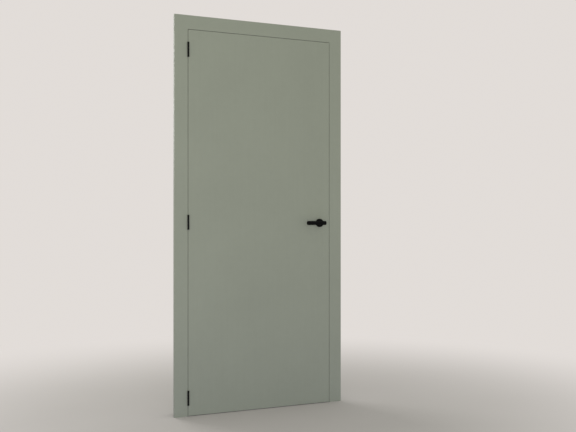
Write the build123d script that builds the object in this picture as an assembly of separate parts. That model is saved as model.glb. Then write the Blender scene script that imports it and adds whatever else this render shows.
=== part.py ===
from build123d import *
import os
from collections import namedtuple
from math import cos, radians, sin

os.makedirs("parts", exist_ok=True)

# Flush interior door leaf in its frame. X runs along the wall to the latch side,
# Y runs into the wall and Z up. The origin is on the floor, at the middle of the
# doorway, in the plane of the wall face that the leaf opens from. Millimetres.

# Leaf
leaf_width = 830.0
leaf_height = 2015.0
leaf_thickness = 40.0
skin_thickness = 3.0
stile_width = 40.0
top_rail_height = 60.0
bottom_rail_height = 80.0
lock_block_width = 110.0
lock_block_height = 320.0
core_tube_diameter = 26.0
core_tube_pitch = 50.0
leaf_edge_chamfer = 0.5

# Joints and gaps
joint_gap = 2.0
floor_gap = 3.0
seal_gap = 3.0
seal_clearance = 0.3
glue_line = 0.1

# Frame
wall_thickness = 80.0
casing_thickness = 16.0
casing_width = 73.0
casing_edge_radius = 1.5
casing_inner_radius = 0.5
mitre_reach = 3
rebate_block = 22.0
stop_width = 12.0
lining_thickness = 22.0
tongue_thickness = 5.0
front_tongue_depth = 8.0
front_tongue_inset = 5.5
back_casing_width = 50.0
back_casing_reveal = 5.0
back_bearing_width = 20.0
back_relief_depth = 1.5
back_tongue_depth = 15.0
back_groove_depth = 20.0
seal_foot_thickness = 3.0
seal_foot_depth = 5.0
seal_width = 8.5
seal_wall = 0.8
seal_inset = 2.0

# Wall fixings: holes through the rebate block, hidden while the leaf is shut
fixing_hole_radius = 3.5
fixing_head_radius = 7.0
fixing_lower_height = 500.0
fixing_upper_height = 1500.0
fixing_pair_spacing = 400.0

# Hinges
hinge_height = 76.0
hinge_open_width = 80.0
plate_thickness = 2.5
plate_corner_radius = 8.0
plate_clearance = 0.2
knuckle_radius = 4.8
knuckle_standoff = 1.0
knuckle_count = 5
knuckle_gap = 1.2
knuckle_clearance = 0.3
knuckle_chamfer = 0.4
washer_thickness = 1.0
pin_radius = 2.5
pin_clearance = 0.05
pin_head_thickness = 1.5
pin_head_chamfer = 0.5
hinge_bottom_height = 96.0
hinge_middle_height = 1012.0
hinge_top_drop = 105.0
hinge_screw_far = 9.0
hinge_screw_near = 23.0
hinge_screw_outer = 29.0
hinge_screw_inner = 11.0

# Lever handles
handle_height = 1007.0
backset = 62.0
bar_radius = 11.0
bar_tip_reach = 100.0
bar_heel_reach = 12.0
bar_distance = 55.0
bar_end_radius = 1.2
neck_radius = 9.0
neck_leaf_gap = 0.5
neck_clearance = 0.06
spindle_side = 8.0
spindle_play = 0.05
spindle_reach = 30.0
spindle_end_gap = 1.0
grub_screw_radius = 2.5
grub_screw_depth = 18.0
grub_screw_sink = 0.6
rose_radius = 23.0
rose_thickness = 9.0
rose_wall = 1.5
rose_edge_radius = 1.0
rose_opening_play = 0.4
rose_base_thickness = 4.0
rose_base_play = 0.4
rose_collar_radius = 12.0
rose_collar_gap = 0.2
rose_screw_pitch = 32.0
rose_lug_radius = 4.0
rose_lug_length = 11.5
rose_bore_radius = 10.5

# Mortise latch
case_depth = 87.0
case_above = 45.0
case_below = 40.0
case_thickness = 16.0
case_wall = 1.5
case_play = 0.3
forend_width = 20.0
forend_height = 155.0
forend_thickness = 3.0
forend_screw_inset = 9.0
latch_height = 23.0
latch_thickness = 12.0
latch_tall = 24.0
latch_bevel_land = 1.0
latch_throw = 10.5
latch_inner_length = 18.0
latch_play = 0.3
tail_height = 7.0
tail_thickness = 5.0
hub_radius = 7.8
journal_radius = 7.0
journal_clearance = 0.05
side_play = 0.3
lever_swing = 45.0
nose_reach = 14.0
nose_radius = 3.0
nose_gap = 0.2
arm_width = 3.0
hook_length = 7.0
heel_width = 12.0
heel_reach = 10.0
heel_thickness = 8.0
return_strip_thickness = 0.8
return_strip_length = 44.0
return_post_radius = 2.5
abutment_distance = 20.0
abutment_thickness = 3.0
abutment_height = 18.0
spring_wire = 1.1
spring_radius = 5.35
spring_turns = 4
cover_post_radius = 3.0
cover_post_inset = 7.0

# Strike
strike_width = 24.0
strike_height = 110.0
strike_thickness = 2.0
strike_corner_radius = 3.0
strike_margin_side = 1.5
strike_margin_end = 2.0
strike_screw_inset = 9.0
strike_box_depth = 13.0
strike_box_wall = 1.0

# Countersunk screws: radius of the head, radius of the shank, height of the head's cone
plate_screw_head = 4.0
plate_screw_shank = 1.9
plate_screw_cone = 2.0
frame_hinge_screw_length = 18.0
leaf_hinge_screw_length = 30.0
forend_screw_length = 28.0
strike_screw_length = 16.0
lining_screw_head = 5.0
lining_screw_shank = 2.5
lining_screw_cone = 2.8
lining_screw_length = 70.0
cover_screw_head = 2.6
cover_screw_shank = 1.4
cover_screw_cone = 1.3
cover_screw_length = 8.0
rose_screw_head = 3.8
rose_screw_shank = 2.0
rose_screw_cone = 2.0
rose_screw_length = 36.0
screw_clearance = 0.05

Screw = namedtuple("Screw", "head shank cone length")
plate_screw = (plate_screw_head, plate_screw_shank, plate_screw_cone)
frame_hinge_screw = Screw(*plate_screw, frame_hinge_screw_length)
leaf_hinge_screw = Screw(*plate_screw, leaf_hinge_screw_length)
forend_screw = Screw(*plate_screw, forend_screw_length)
strike_screw = Screw(*plate_screw, strike_screw_length)
lining_screw = Screw(lining_screw_head, lining_screw_shank, lining_screw_cone, lining_screw_length)
cover_screw = Screw(cover_screw_head, cover_screw_shank, cover_screw_cone, cover_screw_length)
rose_screw = Screw(rose_screw_head, rose_screw_shank, rose_screw_cone, rose_screw_length)

# Places worked out from the sizes
face_y = -casing_thickness
leaf_back_y = face_y + leaf_thickness
leaf_mid_y = face_y + leaf_thickness / 2
stop_y = leaf_back_y + seal_gap
leaf_half = leaf_width / 2
leaf_top = floor_gap + leaf_height
opening_half = leaf_half + joint_gap
opening_top = leaf_top + joint_gap
lining_half = opening_half - stop_width
lining_top = opening_top - stop_width
back_tongue_middle = lining_thickness / 2 - back_casing_reveal
core_front_y = face_y + skin_thickness
core_back_y = leaf_back_y - skin_thickness
hinge_x = -(leaf_half + joint_gap / 2)
hinge_y = face_y - knuckle_standoff - knuckle_radius
plate_end_y = hinge_y + hinge_open_width / 2
hinge_heights = {
    "bottom": hinge_bottom_height,
    "middle": hinge_middle_height,
    "top": leaf_top - hinge_top_drop,
}
handle_x = leaf_half - backset
latch_z = handle_height + latch_height
case_front_x = leaf_half - forend_thickness
case_rear_x = leaf_half - case_depth
case_top = handle_height + case_above
case_bottom = handle_height - case_below


def block(x0, x1, y0, y1, z0, z1):
    """Box between two opposite corners."""
    middle = Pos((x0 + x1) / 2, (y0 + y1) / 2, (z0 + z1) / 2)
    return middle * Box(abs(x1 - x0), abs(y1 - y0), abs(z1 - z0))


def rod(start, direction, radius, length):
    """Round bar from a point along a direction."""
    seat = Plane(origin=start, z_dir=direction)
    return seat * Cylinder(radius, length, align=(Align.CENTER, Align.CENTER, Align.MIN))


def polygon(points):
    """Flat face through the points."""
    return make_face(Polyline(*points, close=True))


def strip(u0, u1, v0, v1):
    """Flat rectangle between two opposite corners."""
    return polygon([(u0, v0), (u1, v0), (u1, v1), (u0, v1)])


def eased(face, corners, radius):
    """The face with the corners nearest to the named points rounded."""
    chosen = [face.vertices().sort_by_distance(Vector(u, v, 0))[0] for u, v in corners]
    return fillet(chosen, radius)


def countersunk(start, direction, size, play=0.0, rise=0.0):
    """A countersunk screw, or with play and rise the hole that it sits in."""
    head, shank = size.head + play, size.shank + play
    end = size.length + play
    outline = [(0, -rise), (head, -rise)] if rise else [(0, 0)]
    outline += [(head, 0), (shank, size.cone), (shank, end - size.shank), (0, end)]
    turned = revolve(Plane.XZ * polygon(outline), axis=Axis.Z)
    return Plane(origin=start, z_dir=direction) * turned


def screw_seat(start, direction, size):
    """The hole for a countersunk screw, open above its head."""
    return countersunk(start, direction, size, screw_clearance, size.cone)


def mirrored(shape):
    """The same shape on the other side of the doorway."""
    return mirror(shape, about=Plane.YZ)


def upright(section, half, height):
    """Section in (outwards, into the wall), raised from the floor on the latch side."""
    return Pos(half, 0, 0) * extrude(section, amount=height, dir=(0, 0, 1))


def crosspiece(section, top, half_length):
    """Section in (upwards, into the wall), laid across the doorway."""
    end = Plane(origin=(half_length, 0, top), x_dir=(0, 0, 1), z_dir=(-1, 0, 0))
    return extrude(end * section, amount=2 * half_length, dir=(-1, 0, 0))


def beyond_mitre(half, top, run, rise, above):
    """Everything above, or below, the mitre line through an inner corner on the latch side."""
    near = (half - mitre_reach * run, top - mitre_reach * rise)
    far = (half + mitre_reach * run, top + mitre_reach * rise)
    edge = far[1] + rise if above else near[1] - rise
    wedge = Plane.XZ * polygon([near, far, (far[0], edge), (near[0], edge)])
    deep = wall_thickness + 2 * leaf_thickness
    return extrude(wedge, amount=deep, both=True, dir=(0, 1, 0))


def casing_section():
    """L-shaped section of a front casing: the face on the wall and the rebate block behind it."""
    outline = polygon([
        (0, face_y), (casing_width, face_y), (casing_width, 0),
        (rebate_block, 0), (rebate_block, stop_y), (0, stop_y),
    ])
    outline = eased(outline, [(casing_width, face_y)], casing_edge_radius)
    outline = eased(outline, [(0, face_y)], casing_inner_radius)
    half_groove = tongue_thickness / 2 + glue_line
    return outline - strip(
        front_tongue_inset - half_groove, front_tongue_inset + half_groove,
        stop_y - front_tongue_depth - glue_line, stop_y,
    )


def front_mitre(above):
    """The mitre between the front casings."""
    return beyond_mitre(opening_half, opening_top, casing_width, casing_width, above)


def side_front_casing():
    """Front casing of the latch side, mitred at the top."""
    raised = upright(casing_section(), opening_half, opening_top + casing_width)
    return raised - front_mitre(above=True)


def head_front_casing():
    """Front casing over the door, mitred at both ends."""
    laid = crosspiece(casing_section(), opening_top, opening_half + casing_width)
    cut = front_mitre(above=False)
    return laid - cut - mirrored(cut)


def lining_section():
    """Section of a lining board, with the seal groove in front and the casing groove behind."""
    board = strip(-stop_width, lining_thickness - stop_width, stop_y, wall_thickness)
    foot = seal_foot_thickness / 2
    centre = seal_centre()
    board -= strip(centre - foot, centre + foot, stop_y, stop_y + seal_foot_depth + glue_line)
    groove = tongue_thickness / 2 + glue_line
    middle = lining_thickness / 2 - stop_width
    return board - strip(middle - groove, middle + groove,
                         wall_thickness - back_groove_depth, wall_thickness)


def seal_centre():
    """Distance of the seal's middle from the rebate face, outwards."""
    return -(seal_inset + seal_width / 2)


def front_tongue_section():
    """Tongue on a lining board's front edge."""
    half = tongue_thickness / 2
    return strip(front_tongue_inset - half, front_tongue_inset + half,
                 stop_y - front_tongue_depth, stop_y)


def lining_screw_places():
    """Depths in the wall of the screws that join the lining's corners, between its grooves."""
    front = stop_y + seal_foot_depth
    back = wall_thickness - back_groove_depth
    quarter = (back - front) / 4
    return front + quarter, back - quarter


def lining_screws():
    """Screws through the side linings into the ends of the head lining, latch side first."""
    outer = lining_half + lining_thickness
    z = lining_top + lining_thickness / 2
    return [((way * outer, y, z), (-way, 0, 0)) for way in (1, -1) for y in lining_screw_places()]


def side_lining():
    """Lining board of the latch side, running past the head board's end."""
    height = lining_top + lining_thickness
    board = upright(lining_section(), opening_half, height)
    tongue = upright(front_tongue_section(), opening_half, height) - front_mitre(above=True)
    board += tongue
    for start, way in lining_screws()[:2]:
        board -= screw_seat(start, way, lining_screw)
    return board


def head_lining():
    """Lining board over the doorway, between the side boards."""
    board = crosspiece(lining_section(), opening_top, lining_half)
    board += crosspiece(front_tongue_section(), opening_top, lining_half)
    for start, way in lining_screws():
        board -= screw_seat(start, way, lining_screw)
    return board


def back_casing_section():
    """Flat casing for the far side of the wall, measured from its inner edge.

    Its back is relieved, so that only a band along the outer edge bears on the wall.
    """
    far_y = wall_thickness + casing_thickness
    plate = strip(0, back_casing_width, wall_thickness, far_y)
    plate = eased(plate, [(0, far_y), (back_casing_width, far_y)], casing_edge_radius)
    return plate - strip(back_tongue_middle + tongue_thickness / 2,
                         back_casing_width - back_bearing_width,
                         wall_thickness, wall_thickness + back_relief_depth)


def back_tongue_section():
    """Adjusting tongue that slides in the lining's rear groove."""
    half = tongue_thickness / 2
    return strip(back_tongue_middle - half, back_tongue_middle + half,
                 wall_thickness - back_tongue_depth, wall_thickness)


def side_back_casing():
    """Back casing of the latch side, mitred at the top, with its tongue."""
    half, top = lining_half + back_casing_reveal, lining_top + back_casing_reveal
    cut = beyond_mitre(half, top, back_casing_width, back_casing_width, above=True)
    height = top + back_casing_width
    plate = upright(back_casing_section(), half, height)
    return plate + upright(back_tongue_section(), half, height) - cut


def head_back_casing():
    """Back casing over the doorway, mitred at both ends, with its tongue."""
    half, top = lining_half + back_casing_reveal, lining_top + back_casing_reveal
    cut = beyond_mitre(half, top, back_casing_width, back_casing_width, above=False)
    plate = crosspiece(back_casing_section(), top, half + back_casing_width)
    plate = plate - cut - mirrored(cut)
    return plate + crosspiece(back_tongue_section(), top, lining_half - glue_line)


def seal_section():
    """Hollow soft bulb on a barbed foot, measured from the rebate face."""
    centre, half = seal_centre(), seal_width / 2
    rise = seal_gap - seal_clearance
    bulb = eased(strip(centre - half, centre + half, stop_y - rise, stop_y),
                 [(centre - half, stop_y - rise), (centre + half, stop_y - rise)], rise / 2)
    bulb -= strip(centre - half + 2 * seal_wall, centre + half - 2 * seal_wall,
                  stop_y - rise + seal_wall, stop_y - seal_wall)
    foot = seal_foot_thickness / 2 - glue_line
    return bulb + strip(centre - foot, centre + foot, stop_y, stop_y + seal_foot_depth)


def fixing_places():
    """Heights of the wall-fixing screw holes in each side casing."""
    half = fixing_pair_spacing / 2
    return [z + way * half for z in (fixing_lower_height, fixing_upper_height) for way in (-1, 1)]


def fixing_holes():
    """Countersunk holes through the latch side's rebate block."""
    cone = fixing_head_radius - fixing_hole_radius
    size = Screw(fixing_head_radius, fixing_hole_radius, cone, 2 * rebate_block)
    return [countersunk((opening_half, stop_y / 2, z), (1, 0, 0), size, 0.0, cone)
            for z in fixing_places()]


def knuckle_spans(z):
    """Bottom and top of each knuckle of a hinge centred at height z."""
    length = (hinge_height - (knuckle_count - 1) * knuckle_gap) / knuckle_count
    bottom = z - hinge_height / 2
    return [(bottom + i * (length + knuckle_gap), bottom + i * (length + knuckle_gap) + length)
            for i in range(knuckle_count)]


def plate_outline(z, play):
    """Outline of a hinge plate in (into the wall, up), round at its far corners."""
    high = hinge_height / 2 + play
    sheet = strip(hinge_y, plate_end_y + play, z - high, z + high)
    far = [(plate_end_y + play, z - high), (plate_end_y + play, z + high)]
    return eased(sheet, far, plate_corner_radius)


def plate_slab(z, side, play=0.0, rise=0.0):
    """Hinge plate let into the frame, side -1, or the leaf, side 1; with rise, its recess."""
    near = hinge_x + side * (joint_gap / 2 - rise)
    sheet = Plane(origin=(near, 0, 0), x_dir=(0, 1, 0), z_dir=(1, 0, 0)) * plate_outline(z, play)
    return extrude(sheet, amount=plate_thickness + rise, dir=(side, 0, 0))


def hinge_screw_places(z, side):
    """Head centre and direction of each of a plate's four screws."""
    x = hinge_x + side * joint_gap / 2
    rows = ((hinge_screw_near, hinge_screw_outer), (hinge_screw_far, hinge_screw_inner))
    return [((x, plate_end_y - back, z + way * high), (side, 0, 0))
            for back, high in rows for way in (-1, 1)]


def hinge_screw_size(side):
    """The screws in the thin frame are shorter than those in the leaf."""
    return frame_hinge_screw if side < 0 else leaf_hinge_screw


def knuckle(low, high):
    """One knuckle between two heights, with its end edges broken."""
    barrel = rod((hinge_x, hinge_y, low), (0, 0, 1), knuckle_radius, high - low)
    return chamfer(barrel.edges().filter_by(GeomType.CIRCLE), knuckle_chamfer)


def hinge_leaf(z, side):
    """Hinge plate with every other knuckle rolled on it; the frame's leaf has the end ones."""
    first = 0 if side < 0 else 1
    spans = knuckle_spans(z)
    leaf = plate_slab(z, side)
    slot_y = hinge_y + knuckle_radius + knuckle_clearance
    for low, high in spans[first::2]:
        leaf += knuckle(low, high)
    for low, high in spans[1 - first::2]:
        leaf -= block(hinge_x - knuckle_radius, hinge_x + knuckle_radius,
                      hinge_y - knuckle_radius, slot_y, low - knuckle_gap, high + knuckle_gap)
    leaf -= rod((hinge_x, hinge_y, z - hinge_height), (0, 0, 1),
                pin_radius + pin_clearance, 2 * hinge_height)
    for start, way in hinge_screw_places(z, side):
        leaf -= screw_seat(start, way, hinge_screw_size(side))
    return leaf


def hinge_pin(z):
    """Headed pin, dropped in from above."""
    top = z + hinge_height / 2
    shaft = rod((hinge_x, hinge_y, z - hinge_height / 2), (0, 0, 1), pin_radius, hinge_height)
    head = rod((hinge_x, hinge_y, top), (0, 0, 1), knuckle_radius, pin_head_thickness)
    head = chamfer(head.edges().group_by(Axis.Z)[-1], pin_head_chamfer)
    return shaft + head


def hinge_washers(z):
    """Bearing washers between the knuckles of one hinge."""
    rings = []
    for _, top in knuckle_spans(z)[:-1]:
        low = top + (knuckle_gap - washer_thickness) / 2
        ring = rod((hinge_x, hinge_y, low), (0, 0, 1), knuckle_radius - knuckle_clearance,
                   washer_thickness)
        rings.append(ring - rod((hinge_x, hinge_y, low), (0, 0, 1),
                                pin_radius + pin_clearance, washer_thickness))
    return rings


def hinge_recess(piece, side):
    """The piece with the recesses and screw holes of all hinges on one side cut in it."""
    for z in hinge_heights.values():
        piece -= plate_slab(z, side, plate_clearance, joint_gap / 2)
        for start, way in hinge_screw_places(z, side):
            piece -= screw_seat(start, way, hinge_screw_size(side))
    return piece


def leaf_skin(front):
    """Thin facing over the whole leaf, with its long and short edges eased."""
    y0, y1 = (face_y, core_front_y) if front else (core_back_y, leaf_back_y)
    sheet = block(-leaf_half, leaf_half, y0, y1, floor_gap, leaf_top)
    outer = sheet.faces().sort_by(Axis.Y)[0 if front else -1]
    sheet = chamfer(outer.edges(), leaf_edge_chamfer)
    sheet -= handle_bores(y0, y1)
    return hinge_recess(sheet, 1) if front else sheet


def handle_bores(y0, y1):
    """Holes through the leaf for the spindle and for the rose lugs and screws."""
    long = y1 - y0
    bore = rod((handle_x, y0, handle_height), (0, 1, 0), rose_bore_radius, long)
    for way in (-1, 1):
        start = (handle_x + way * rose_screw_pitch / 2, y0, handle_height)
        bore += rod(start, (0, 1, 0), rose_lug_radius + glue_line, long)
    return bore


def case_pocket():
    """Pocket routed for the latch case and its forend."""
    half = case_thickness / 2 + case_play
    pocket = block(case_rear_x - case_play, case_front_x, leaf_mid_y - half, leaf_mid_y + half,
                   case_bottom - case_play, case_top + case_play)
    pocket += forend_slab(case_play / 2)
    for start, way in forend_screw_places():
        pocket += screw_seat(start, way, forend_screw)
    return pocket


def hinge_stile():
    """Stile that carries the hinges."""
    stile = block(-leaf_half, stile_width - leaf_half, core_front_y, core_back_y,
                  floor_gap, leaf_top)
    return hinge_recess(stile, 1)


def latch_stile():
    """Stile that carries the latch."""
    stile = block(leaf_half - stile_width, leaf_half, core_front_y, core_back_y,
                  floor_gap, leaf_top)
    return stile - case_pocket() - handle_bores(core_front_y, core_back_y)


def lock_block():
    """Block beside the latch stile that holds the case and the roses."""
    edge = leaf_half - stile_width
    half = lock_block_height / 2
    wood = block(edge - lock_block_width, edge, core_front_y, core_back_y,
                 handle_height - half, handle_height + half)
    return wood - case_pocket() - handle_bores(core_front_y, core_back_y)


def rail(low, high):
    """Cross rail between the stiles."""
    half = leaf_half - stile_width
    return block(-half, half, core_front_y, core_back_y, low, high)


def tubular_core():
    """Pressed core board with a row of upright tubes, cut out round the lock block."""
    half = leaf_half - stile_width
    low, high = floor_gap + bottom_rail_height, leaf_top - top_rail_height
    section = strip(-half, half, core_front_y, core_back_y)
    tubes = int((2 * half - core_tube_pitch + core_tube_diameter) // core_tube_pitch)
    for i in range(tubes):
        x = (i - (tubes - 1) / 2) * core_tube_pitch
        section -= Pos(x, leaf_mid_y) * Circle(core_tube_diameter / 2)
    board = Pos(0, 0, low) * extrude(section, amount=high - low, dir=(0, 0, 1))
    tall = lock_block_height / 2 + glue_line
    return board - block(half - lock_block_width - glue_line, half, core_front_y, core_back_y,
                         handle_height - tall, handle_height + tall)


def forend_slab(play=0.0):
    """Round-ended face plate of the latch, let into the leaf's edge."""
    wide, tall = forend_width / 2 + play, forend_height / 2 + play
    middle = (case_top + case_bottom) / 2
    outline = Pos(leaf_mid_y, middle) * SlotOverall(2 * tall, 2 * wide, rotation=90)
    sheet = Plane(origin=(case_front_x, 0, 0), x_dir=(0, 1, 0), z_dir=(1, 0, 0)) * outline
    return extrude(sheet, amount=forend_thickness, dir=(1, 0, 0))


def forend_screw_places():
    """Head centre and direction of the forend's two screws."""
    middle = (case_top + case_bottom) / 2
    reach = forend_height / 2 - forend_screw_inset
    return [((leaf_half, leaf_mid_y, middle + way * reach), (-1, 0, 0)) for way in (-1, 1)]


def forend():
    """Face plate with the bolt's opening and two countersunk holes."""
    wide, tall = latch_thickness / 2 + latch_play, latch_tall / 2 + latch_play
    plate = forend_slab() - block(case_front_x, leaf_half, leaf_mid_y - wide, leaf_mid_y + wide,
                                  latch_z - tall, latch_z + tall)
    for start, way in forend_screw_places():
        plate -= screw_seat(start, way, forend_screw)
    return plate


def rose_screw_holes(y0, y1, radius):
    """Two rods where the rose screws run."""
    rods = [rod((handle_x + way * rose_screw_pitch / 2, y0, handle_height), (0, 1, 0),
                radius, y1 - y0) for way in (-1, 1)]
    return rods[0] + rods[1]


def case_openings():
    """Holes through both sides of the latch case: follower journals and rose screws."""
    y0, y1 = leaf_mid_y - case_thickness / 2, leaf_mid_y + case_thickness / 2
    journal = rod((handle_x, y0, handle_height), (0, 1, 0), journal_radius + journal_clearance,
                  y1 - y0)
    return journal + rose_screw_holes(y0, y1, rose_screw.shank + 2 * case_play)


def cover_post_places():
    """Centres of the posts that take the cover's screws."""
    return [(case_rear_x + cover_post_inset, case_top - cover_post_inset),
            (case_front_x - cover_post_inset, case_bottom + cover_post_inset)]


def latch_case():
    """Pressed tray of the latch with its posts, spring abutment and strip supports."""
    y0, y1 = leaf_mid_y - case_thickness / 2, leaf_mid_y + case_thickness / 2 - case_wall
    inner = y0 + case_wall
    tray = block(case_rear_x, case_front_x, y0, y1, case_bottom, case_top)
    tray -= block(case_rear_x + case_wall, case_front_x - case_wall, inner, y1,
                  case_bottom + case_wall, case_top - case_wall)
    tray += abutment(inner, y1)
    for x, z in cover_post_places():
        tray += rod((x, inner, z), (0, 1, 0), cover_post_radius, y1 - inner)
        tray -= screw_seat((x, y1 + case_wall, z), (0, -1, 0), cover_screw)
    for x, z in strip_post_places():
        tray += rod((x, inner, z), (0, 1, 0), return_post_radius, y1 - inner)
    wide, tall = latch_thickness / 2 + latch_play, latch_tall / 2 + latch_play
    tray -= block(case_front_x - case_wall, case_front_x, leaf_mid_y - wide, leaf_mid_y + wide,
                  latch_z - tall, latch_z + tall)
    return tray - case_openings()


def abutment(y0, y1):
    """Slotted wall that the latch spring pushes on and the tail slides through."""
    x = handle_x + abutment_distance
    wall = block(x, x + abutment_thickness, y0, y1,
                 latch_z - abutment_height / 2, latch_z + abutment_height / 2)
    wide, tall = tail_thickness / 2 + latch_play, tail_height / 2 + latch_play
    return wall - block(x, x + abutment_thickness, leaf_mid_y - wide, leaf_mid_y + wide,
                        latch_z - tall, latch_z + tall)


def latch_cover():
    """Flat lid of the latch case."""
    y1 = leaf_mid_y + case_thickness / 2
    lid = block(case_rear_x, case_front_x, y1 - case_wall, y1, case_bottom, case_top)
    for x, z in cover_post_places():
        lid -= screw_seat((x, y1, z), (0, -1, 0), cover_screw)
    return lid - case_openings()


def follower():
    """Nut turned by the spindle: hub on two journals, a round-nosed arm and a flat heel."""
    inside = case_thickness / 2 - case_wall - side_play
    hub = turned_on_spindle(hub_radius, inside) + turned_on_spindle(journal_radius,
                                                                    case_thickness / 2)
    thin = tail_thickness / 2
    arm = block(handle_x - arm_width / 2, handle_x + arm_width / 2,
                leaf_mid_y - thin, leaf_mid_y + thin, handle_height, handle_height + nose_reach)
    nose = rod((handle_x, leaf_mid_y - thin, handle_height + nose_reach), (0, 1, 0),
               nose_radius, tail_thickness)
    heel = block(handle_x - heel_width / 2, handle_x + heel_width / 2,
                 leaf_mid_y - heel_thickness / 2, leaf_mid_y + heel_thickness / 2,
                 handle_height - heel_reach, handle_height)
    return hub + arm + nose + heel - spindle_block(spindle_play, case_thickness / 2)


def turned_on_spindle(radius, half):
    """Disc round the spindle's axis, to both sides of the leaf's middle."""
    return rod((handle_x, leaf_mid_y - half, handle_height), (0, 1, 0), radius, 2 * half)


def spindle_block(play, half):
    """Square bar on the lever axis, to both sides of the leaf's middle."""
    side = spindle_side / 2 + play
    return block(handle_x - side, handle_x + side, leaf_mid_y - half, leaf_mid_y + half,
                 handle_height - side, handle_height + side)


def hook_face():
    """Working face of the bolt's hook, which the follower's nose stays close to all the way.

    Seen from the bolt, the nose's centre runs along a cycloid as the lever turns, and the
    face lies one nose radius and a small gap to the rear of it.
    """
    steps = 6
    far = nose_radius + nose_gap
    points = []
    for i in range(steps + 1):
        turn = radians(lever_swing) * i / steps
        points.append((
            handle_x + nose_reach * (turn - sin(turn)) - far * cos(turn / 2),
            handle_height + nose_reach * cos(turn) - far * sin(turn / 2),
        ))
    return points


def latch_bolt():
    """Bevelled bolt head with the sliding tail and the hook that the follower draws back."""
    wide, tall = latch_thickness / 2, latch_tall / 2
    tip, rear = leaf_half + latch_throw, leaf_half - latch_inner_length
    bevel = Plane.XY * polygon([
        (rear, leaf_mid_y - wide), (tip, leaf_mid_y - wide),
        (leaf_half + latch_bevel_land, leaf_mid_y + wide), (rear, leaf_mid_y + wide),
    ])
    head = Pos(0, 0, latch_z - tall) * extrude(bevel, amount=latch_tall, dir=(0, 0, 1))
    thin = tail_thickness / 2
    face = hook_face()
    back = face[0][0] - hook_length
    tail_low = latch_z - tail_height / 2
    tail = block(back, rear, leaf_mid_y - thin, leaf_mid_y + thin,
                 tail_low, tail_low + tail_height)
    edge = Polyline((face[-1]), (back, face[-1][1]), (back, tail_low + tail_height / 2),
                    (face[0][0], tail_low + tail_height / 2), (face[0]))
    hook = make_face(Plane.XZ * (edge + Spline(*face)))
    hook = Pos(0, leaf_mid_y, 0) * extrude(hook, amount=thin, both=True, dir=(0, 1, 0))
    return head + tail + hook


def latch_spring():
    """Square-wire coil on the tail, between the abutment and the back of the bolt head."""
    start = handle_x + abutment_distance + abutment_thickness + spring_wire / 2
    end = leaf_half - latch_inner_length - spring_wire / 2
    pitch = (end - start) / spring_turns
    path = Helix(pitch, end - start, spring_radius, center=(start, leaf_mid_y, latch_z),
                 direction=(1, 0, 0))
    section = Plane(origin=path @ 0, z_dir=path % 0) * Rectangle(spring_wire, spring_wire)
    return sweep(section, path=path, is_frenet=True)


def strip_post_places():
    """Centres of the posts under the ends of the return strip."""
    reach = return_strip_length / 2 - return_post_radius
    z = handle_height - heel_reach - return_strip_thickness - return_post_radius
    return [(handle_x + way * reach, z) for way in (-1, 1)]


def return_strip():
    """Flat spring under the follower's heel that brings the lever back."""
    half = return_strip_length / 2
    top = handle_height - heel_reach
    return block(handle_x - half, handle_x + half,
                 leaf_mid_y - heel_thickness / 2, leaf_mid_y + heel_thickness / 2,
                 top - return_strip_thickness, top)


def spindle():
    """Square bar through the leaf into both necks."""
    return spindle_block(0.0, leaf_thickness / 2 + spindle_reach)


def facing(way):
    """Face of the leaf on the side of way: -1 the front, 1 the back."""
    return leaf_mid_y + way * leaf_thickness / 2


def lever(way):
    """Round bar across a round neck, with a square socket for the spindle."""
    root = facing(way) + way * neck_leaf_gap
    bar_y = facing(way) + way * bar_distance
    neck = rod((handle_x, root, handle_height), (0, way, 0), neck_radius, abs(bar_y - root))
    bar = rod((handle_x - bar_tip_reach, bar_y, handle_height), (1, 0, 0), bar_radius,
              bar_tip_reach + bar_heel_reach)
    bar = fillet(bar.edges().filter_by(GeomType.CIRCLE), bar_end_radius)
    socket = leaf_thickness / 2 + spindle_reach + spindle_end_gap
    body = neck + bar - spindle_block(spindle_play, socket)
    start, length = grub_screw_run(way)
    return body - rod(start, (0, 0, 1), grub_screw_radius + screw_clearance, length)


def grub_screw_run(way):
    """Lower end and length of the grub screw's hole, from the neck's skin to the spindle."""
    start = (handle_x, facing(way) + way * grub_screw_depth, handle_height - neck_radius)
    return start, neck_radius - spindle_side / 2


def grub_screw(way):
    """Headless screw that clamps a neck to the spindle."""
    (x, y, z), length = grub_screw_run(way)
    return rod((x, y, z + grub_screw_sink), (0, 0, 1), grub_screw_radius,
               length - grub_screw_sink)


def rose_base(way):
    """Bearing plate of a rose; the front one has two threaded lugs, the back one takes screws."""
    base_radius = rose_radius - rose_wall - rose_base_play
    collar = rose_thickness - rose_wall - rose_collar_gap
    start = (handle_x, facing(way), handle_height)
    base = rod(start, (0, way, 0), base_radius, rose_base_thickness)
    base += rod(start, (0, way, 0), rose_collar_radius, collar)
    if way < 0:
        lugs = rose_screw_holes(facing(way), facing(way) + rose_lug_length, rose_lug_radius)
        base += lugs
    base -= rod(start, (0, way, 0), neck_radius + neck_clearance, rose_thickness)
    for place, run in rose_screw_places():
        base -= screw_seat(place, run, rose_screw)
    return base


def rose_screw_places():
    """Head centre and direction of the two screws, driven in from the back rose."""
    y = facing(1) + rose_base_thickness
    return [((handle_x + way * rose_screw_pitch / 2, y, handle_height), (0, -1, 0))
            for way in (-1, 1)]


def rose_cover(way):
    """Turned cap that snaps over the base."""
    start = (handle_x, facing(way), handle_height)
    cap = rod(start, (0, way, 0), rose_radius, rose_thickness)
    rim = cap.edges().filter_by(GeomType.CIRCLE).sort_by(Axis.Y)[0 if way < 0 else -1]
    cap = fillet(rim, rose_edge_radius)
    cap -= rod(start, (0, way, 0), rose_radius - rose_wall, rose_thickness - rose_wall)
    return cap - rod(start, (0, way, 0), neck_radius + rose_opening_play, rose_thickness)


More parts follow.
